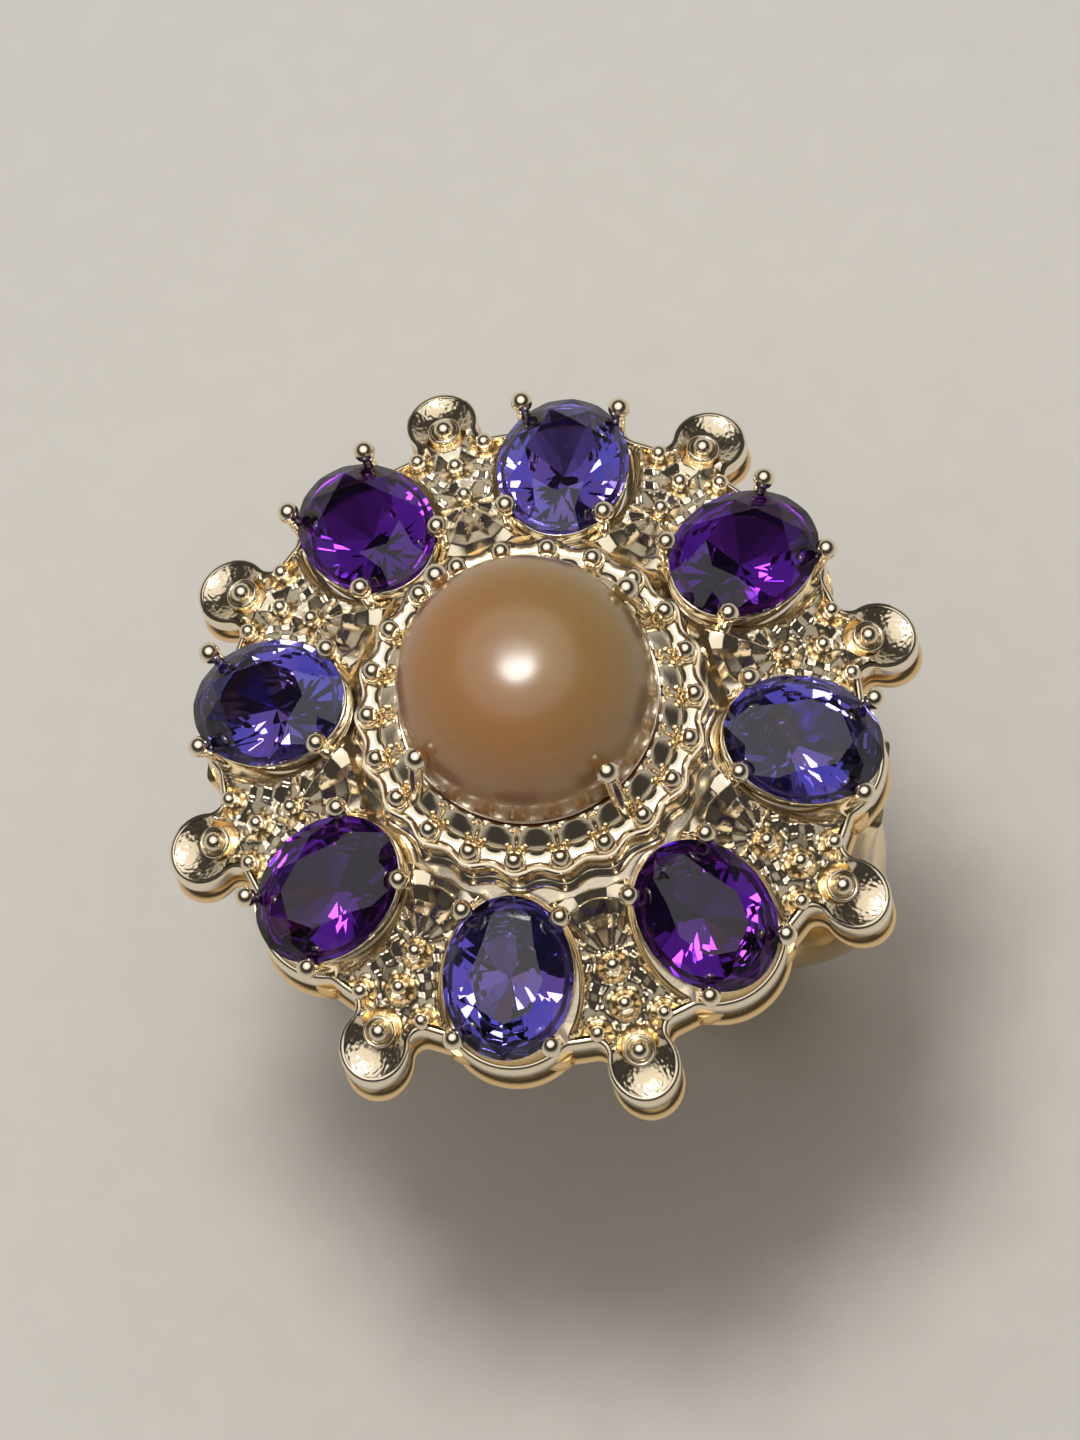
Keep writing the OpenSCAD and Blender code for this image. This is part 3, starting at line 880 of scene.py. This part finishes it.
def petal(index):
    bm = bmesh.new()
    rows, across = 130, 60
    bmesh.ops.create_grid(bm, x_segments=rows, y_segments=across, size=1)
    tip = LOBE_RING + LOBE_R - RIM_W - 0.03
    # painted shade: this attribute grows the lower a point of the petal lies, and darkens and warms its gold
    # there
    hollow = bm.verts.layers.float.new("hollow")
    for vert in bm.verts:
        u, v = (vert.co.x + 1) / 2, vert.co.y
        x = PETAL_START + (tip - PETAL_START) * u
        half = petal_half_width(x)
        y = v * half
        height = petal_height(x, y, half)
        vert[hollow] = min(max((0.30 - height) / 0.3, 0.0), 1.0)
        vert.co = (x, y, plate_z(math.hypot(x, y), height))
    rim = [e for e in bm.edges if e.is_boundary]
    skirt = bmesh.ops.extrude_edge_only(bm, edges=rim)
    low = [v for v in skirt["geom"] if isinstance(v, bmesh.types.BMVert)]
    for vert in low:
        vert.co.z = plate_z(math.hypot(vert.co.x, vert.co.y), -0.05)
        # the petal's sides down to the plate get the full painted shade
        vert[hollow] = 1.0
    bmesh.ops.remove_doubles(bm, verts=bm.verts, dist=1e-4)
    bmesh.ops.holes_fill(bm, edges=[e for e in bm.edges if e.is_boundary], sides=0)
    bmesh.ops.transform(bm, matrix=turned(index + 0.5), verts=bm.verts)
    return bm


for index in range(STONES):
    name = f"petal_{index + 1}"
    made = finish_piece(name, petal(index), petal_gold, name, 30)
print("petals:", STONES, "with", len(made.data.polygons), "faces each")

# %% [markdown]
# ## Beads
# Granules are small balls fused to the gold, so each has a little foot where the metal ran. One profile
# with that foot is turned on the lathe and set into the petals, and the large one at the root of a lobe
# sits in a cup with a rolled lip.

# %% Petal beads and lobe beads
def granule(radius, sink=50):
    """A bead round Z = 0 with a small melted foot."""
    bm = bmesh.new()
    low = math.radians(-sink)
    profile = [(radius * 0.98, radius * math.sin(low) - 0.1), (radius * 0.98, radius * math.sin(low))]
    profile.append((radius * (math.cos(low) + 0.06), radius * math.sin(low) + 0.035))
    for k in range(10):
        turn = low + 0.2 + (math.pi / 2 - low - 0.2) * k / 9
        profile.append((max(radius * math.cos(turn), 0.0), radius * math.sin(turn)))
    lathe(bm, [(0, profile[0][1])] + profile, 22, closed=False)
    return bm


def slope_place(r, angle, lift):
    """A place on the plate, standing square to its slope."""
    return (
        Matrix.Rotation(angle, 4, "Z")
        @ Matrix.Translation((r, 0, plate_z(r, lift)))
        @ Matrix.Rotation(SLOPE, 4, "Y")
    )


def petal_beads():
    bm = bmesh.new()
    bead = granule(BEAD)
    for index in range(STONES):
        for r, degrees in BEADS:
            angle = (index + 0.5) * SECTOR + math.radians(degrees)
            into(bm, bead, slope_place(r, angle, 0.36))
    bead.free()
    return bm


def cupped_bead():
    bm = bmesh.new()
    cup = [(0, -0.1), (CUP_R - 0.02, -0.1), (CUP_R, 0.25), (CUP_R - 0.01, 0.36), (CUP_R - 0.05, 0.41)]
    cup += [(CUP_R - 0.11, 0.41), (CUP_R - 0.14, 0.36), (CUP_R - 0.15, 0.27), (0.2, 0.24)]
    for k in range(10):
        turn = math.radians(-30 + 120 * k / 9)
        cup.append((max(0.33 * math.cos(turn), 0.0), 0.38 + 0.33 * math.sin(turn)))
    lathe(bm, cup, 32, closed=False)
    return bm


def lobe_beads():
    bm = bmesh.new()
    bead = cupped_bead()
    for index in range(STONES):
        into(bm, bead, slope_place(CUP_X, (index + 0.5) * SECTOR, 0.0))
    bead.free()
    return bm


finish_piece("petal_beads", petal_beads(), bright_gold, "petal_beads", 60)
finish_piece("lobe_beads", lobe_beads(), bright_gold, "lobe_beads", 60)
print("beads:", STONES * len(BEADS), "small and", STONES, "in cups")

# %% [markdown]
# ## Settings of the oval stones
# Each oval sits in an open basket: an upper rail with a bearing for the stone, a slimmer lower rail,
# and four wires that run through both and end in balls pushed over the girdle.

# %% Settings
def ball_wire(foot, tip, stem_r, ball_r):
    """A claw: a tapered wire from foot to tip with a round ball on its end."""
    bm = bmesh.new()
    length = (Vector(tip) - Vector(foot)).length
    profile = [(0, 0), (stem_r * 0.9, 0.0), (stem_r, length * 0.3), (stem_r * 0.98, length - ball_r * 1.3)]
    for k in range(13):
        turn = math.radians(-62 + 152 * k / 12)
        profile.append((max(ball_r * math.cos(turn), 0.0), length + ball_r * math.sin(turn)))
    lathe(bm, profile, 24, closed=False)
    turn = (Vector(tip) - Vector(foot)).to_track_quat("Z", "Y").to_matrix().to_4x4()
    bmesh.ops.transform(bm, matrix=Matrix.Translation(foot) @ turn, verts=bm.verts)
    return bm


def oval_rail(bm, half_l, half_w, wall, low, high):
    """An oval wire with rounded corners: a round one is turned and then squeezed."""
    part = bmesh.new()
    soft = 0.07
    share = wall / half_w
    profile = []
    for r, z, start in ((1 - soft / half_w, high - soft, 0), (1 - share + soft / half_w, high - soft, 90),
                        (1 - share + soft / half_w, low + soft, 180), (1 - soft / half_w, low + soft, 270)):
        for k in range(4):
            turn = math.radians(start + 30 * k)
            profile.append((r + soft / half_w * math.cos(turn), z + soft * math.sin(turn)))
    lathe(part, profile, 56)
    into(bm, part, Matrix.Diagonal((half_l, half_w, 1, 1)))
    part.free()


def setting():
    bm = bmesh.new()
    oval_rail(bm, stone_l / 2 - 0.02, stone_w / 2 - 0.02, 0.42, -0.62, -0.26)
    oval_rail(bm, stone_l / 2 - 0.14, stone_w / 2 - 0.14, 0.34, -1.12, -0.84)
    oval_rail(bm, stone_l / 2 - 0.30, stone_w / 2 - 0.30, 0.40, -1.86, -1.45)
    for sx in (-1, 1):
        for sy in (-1, 1):
            foot = (sx * CLAW_X * 0.88, sy * CLAW_Y * 0.88, -1.9)
            tip = (sx * CLAW_X, sy * CLAW_Y, 0.45)
            wire = ball_wire(foot, tip, 0.22, 0.335)
            into(bm, wire, Matrix.Identity(4))
            wire.free()
    return bm


def copy_to(pattern, matrix):
    bm = bmesh.new()
    into(bm, pattern, matrix)
    return bm


setting_pattern = setting()
for index in range(STONES):
    kind = "tanzanite" if index % 2 == 0 else "amethyst"
    name = f"{kind}_setting_{index // 2 + 1}"
    finish_piece(name, copy_to(setting_pattern, stone_place(index)), bright_gold, name, 60)
setting_pattern.free()
print("settings:", STONES)

# %% [markdown]
# ## Cutting the stones
# A lapidary grinds one flat at a time, and bisect_plane does the same: it slices the rough stone with a
# plane, throws away the outside, and the hole is closed with a flat facet. The planes of a round
# brilliant are found from the points where facets meet, and the cut stone is squeezed to an oval.

# %% Oval brilliant
def facet(bm, three, keep):
    """Grinds one facet through three points, keeping the side that holds the point keep."""
    a, b, c = (Vector(p) for p in three)
    normal = (b - a).cross(c - a).normalized()
    if (Vector(keep) - a).dot(normal) > 0:
        normal.negate()
    cut = bmesh.ops.bisect_plane(
        bm,
        geom=bm.verts[:] + bm.edges[:] + bm.faces[:],
        dist=1e-6,
        plane_co=a,
        plane_no=normal,
        clear_outer=True,
    )
    edges = [e for e in cut["geom_cut"] if isinstance(e, bmesh.types.BMEdge)]
    if edges:
        bmesh.ops.holes_fill(bm, edges=edges, sides=0)


def polar(r, steps, z):
    turn = steps * math.tau / 16
    return (r * math.cos(turn), r * math.sin(turn), z)


def oval_brilliant():
    bm = bmesh.new()
    bmesh.ops.create_cone(bm, cap_ends=True, segments=96, radius1=1, radius2=1, depth=6)
    table, top, low = 0.56, CROWN, -PAVILION
    high, under = GIRDLE / 2, -GIRDLE / 2
    centre = (0, 0, 0)
    facet(bm, [(0, 0, top), (1, 0, top), (0, 1, top)], centre)

    def crown_z(r, steps):
        return high + (top - high) * (1 - r * math.cos(steps * math.tau / 16)) / (1 - table)

    for k in range(0, 16, 2):
        corner = polar(table, k, top)
        side = (-math.sin(k * math.tau / 16), math.cos(k * math.tau / 16), 0)
        girdle_point = polar(1, k, high)
        facet(bm, [corner, girdle_point, Vector(girdle_point) + Vector(side)], centre)
    star_r = 0.80
    for k in range(1, 16, 2):
        meet = polar(star_r, k, crown_z(star_r, 1))
        facet(bm, [polar(table, k - 1, top), polar(table, k + 1, top), meet], centre)
        facet(bm, [meet, polar(1, k - 1, high), polar(1, k, high)], centre)
        facet(bm, [meet, polar(1, k + 1, high), polar(1, k, high)], centre)
    for k in range(0, 16, 2):
        side = (-math.sin(k * math.tau / 16), math.cos(k * math.tau / 16), 0)
        girdle_point = polar(1, k, under)
        facet(bm, [(0, 0, low), girdle_point, Vector(girdle_point) + Vector(side)], centre)
    lower_r = 0.24

    def pavilion_z(r, steps):
        return under + (low - under) * (1 - r * math.cos(steps * math.tau / 16))

    for k in range(1, 16, 2):
        meet = polar(lower_r, k, pavilion_z(lower_r, 1))
        facet(bm, [meet, polar(1, k - 1, under), polar(1, k, under)], centre)
        facet(bm, [meet, polar(1, k + 1, under), polar(1, k, under)], centre)
    bmesh.ops.scale(bm, vec=(stone_l / 2, stone_w / 2, 1), verts=bm.verts)
    through_top = bm.faces.layers.float.new("table")
    for face in bm.faces:
        face[through_top] = float(min(v.co.z for v in face.verts) > top - 1e-4)
    return bm


gem_pattern = oval_brilliant()
print("facets on an oval:", len(gem_pattern.faces), "closed:", all(e.is_manifold for e in gem_pattern.edges))
for index in range(STONES):
    kind = "tanzanite" if index % 2 == 0 else "amethyst"
    name = f"{kind}_{index // 2 + 1}"
    glass = tanzanite_glass if kind == "tanzanite" else amethyst_glass
    gem = finish_piece(name, copy_to(gem_pattern, stone_place(index)), glass, name, 180)
    for face in gem.data.polygons:
        face.use_smooth = False
gem_pattern.free()

# %% [markdown]
# ## The collar
# The collar carries the cabochon. Its flange is cut with one flute for every bead, and its outer wall
# is scalloped to follow the beads. It is turned on the lathe from a profile, and then every point is
# moved in or out with the wave of the flutes.

# %% Collar and its beads
COLLAR_BEADS = 22
BEAD_RING = 4.97
bead_floor = seat_z - 0.5
collar_r = collar_high[0] - 0.06


def collar():
    bm = bmesh.new()
    lip = opal_r + 0.05
    foot_r = collar_r + 0.10
    profile = [(LIGHT_HOLE_R, plate_z(LIGHT_HOLE_R, -0.02)), (foot_r, plate_z(foot_r, -0.02))]
    profile += [(collar_r + 0.12, plate_z(collar_r, 0.04)), (collar_r + 0.03, plate_z(collar_r, 0.14))]
    wall_h = bead_floor - plate_z(collar_r) - 0.4
    for k in range(5):
        profile.append((collar_r - 0.12 + 0.03 * k, plate_z(collar_r, 0.2) + wall_h * k / 4))
    profile += [(collar_r, bead_floor - 0.04), (collar_r - 0.04, bead_floor + 0.02)]
    profile += [(collar_r - 0.11, bead_floor + 0.04), (BEAD_RING + 0.28, bead_floor)]
    profile += [(BEAD_RING + 0.2, bead_floor - 0.02), (BEAD_RING - 0.2, bead_floor)]
    profile += [(BEAD_RING - 0.30, bead_floor + 0.08), (BEAD_RING - 0.34, bead_floor + 0.24)]
    for k in range(7):
        profile.append((BEAD_RING - 0.41 - 0.065 * k, bead_floor + 0.34 + 0.05 * k))
    profile += [(lip + 0.13, seat_z + 0.17), (lip + 0.09, seat_z + 0.22), (lip + 0.03, seat_z + 0.21)]
    profile += [(lip, seat_z + 0.16), (lip, seat_z), (LIGHT_HOLE_R, seat_z)]
    lathe(bm, profile, COLLAR_BEADS * 14)
    for vert in bm.verts:
        r = math.hypot(vert.co.x, vert.co.y)
        turn = math.atan2(vert.co.y, vert.co.x) - math.pi / 2
        wave = math.cos(COLLAR_BEADS * turn)
        if r > BEAD_RING + 0.1:
            share = 1 + 0.10 * (wave - 1) / r * 1.1
            vert.co.x *= share
            vert.co.y *= share
        elif lip + 0.05 < r < BEAD_RING - 0.15 and vert.co.z > bead_floor + 0.05:
            crest = abs(math.sin(COLLAR_BEADS * turn / 2)) ** 0.7
            vert.co.z -= 0.30 * (1 - crest) * min((r - lip - 0.05) / 0.16, 1.0)
    return bm


finish_piece("collar", collar(), bright_gold, "collar", 32)


def collar_beads():
    bm = bmesh.new()
    bead = granule(0.32, 35)
    for k in range(COLLAR_BEADS):
        angle = math.pi / 2 + k * math.tau / COLLAR_BEADS
        place = Matrix.Rotation(angle, 4, "Z") @ Matrix.Translation((BEAD_RING, 0, bead_floor + 0.23))
        into(bm, bead, place)
    bead.free()
    return bm


finish_piece("collar_beads", collar_beads(), bright_gold, "collar_beads", 60)
print("collar with", COLLAR_BEADS, "beads")

# %% [markdown]
# ## The cabochon and its claws
# A cabochon is ground and not faceted: a short straight side, then a full dome. Its profile is a curve
# a little fuller than an ellipse, turned on the lathe. Four ball-tipped wires lean on it.

# %% Cabochon
SIDE_H = 1.2
FULLNESS = 2.4
dome_h = dome_z - seat_z - SIDE_H


def dome_r(t):
    return opal_r * max(1 - t**FULLNESS, 0.0) ** (1 / FULLNESS)


def cabochon():
    bm = bmesh.new()
    profile = [(0, seat_z), (opal_r - 0.25, seat_z), (opal_r - 0.1, seat_z + 0.05), (opal_r, seat_z + 0.2)]
    profile += [(opal_r, seat_z + 0.5)]
    rings = 30
    for k in range(rings + 1):
        t = math.sin(math.pi / 2 * k / rings)
        profile.append((dome_r(t), seat_z + SIDE_H + dome_h * t))
    profile[-1] = (0, dome_z)
    lathe(bm, profile, 128, closed=False)
    return bm


finish_piece("opal", cabochon(), opal_milk, "opal", 180)

BALL_H = 2.7
BALL_R = 0.38
tip_r = dome_r((BALL_H - SIDE_H) / dome_h) + BALL_R - 0.04
for index in range(4):
    wire = ball_wire((BEAD_RING - 0.42, 0, bead_floor - 0.3), (tip_r, 0, seat_z + BALL_H), 0.23, BALL_R)
    bmesh.ops.transform(wire, matrix=Matrix.Rotation(math.radians(45 + 90 * index), 4, "Z"), verts=wire.verts)
    finish_piece(f"opal_claw_{index + 1}", wire, bright_gold, f"opal_claw_{index + 1}", 60)
print("cabochon and 4 claws")

# %% [markdown]
# ## Floor
# The ring stands on a plain pale floor, which is also the big warm reflector under the gold. It is so
# wide that no edge of it shows.

# %% Floor
floor_bm = bmesh.new()
bmesh.ops.create_grid(floor_bm, x_segments=8, y_segments=8, size=2.5)
bmesh.ops.translate(floor_bm, vec=(0, 0, band_low[2] * MM), verts=floor_bm.verts)
floor_mesh = bpy.data.meshes.new("floor")
floor_bm.to_mesh(floor_mesh)
floor_bm.free()
floor = bpy.data.objects.new("floor", floor_mesh)
bpy.context.scene.collection.objects.link(floor)
paper = Finish("paper floor", Roughness=0.85)
paper_place = paper.place()
# the paper's tone drifts at random between a darker and a paler cream; it is not light or shade
DARKER_PAPER, PALER_PAPER = (0.70, 0.67, 0.62, 1), (0.76, 0.73, 0.68, 1)
paper.feed("Base Color", paper.blend(paper.cloud(paper_place, 0.8, 4.0), DARKER_PAPER, PALER_PAPER))
paper.bump(paper.cloud(paper_place, 6.0, 4.0), 0.1, 0.00005)
floor_mesh.materials.append(paper.material)
print("floor at", round(band_low[2] * MM, 5))
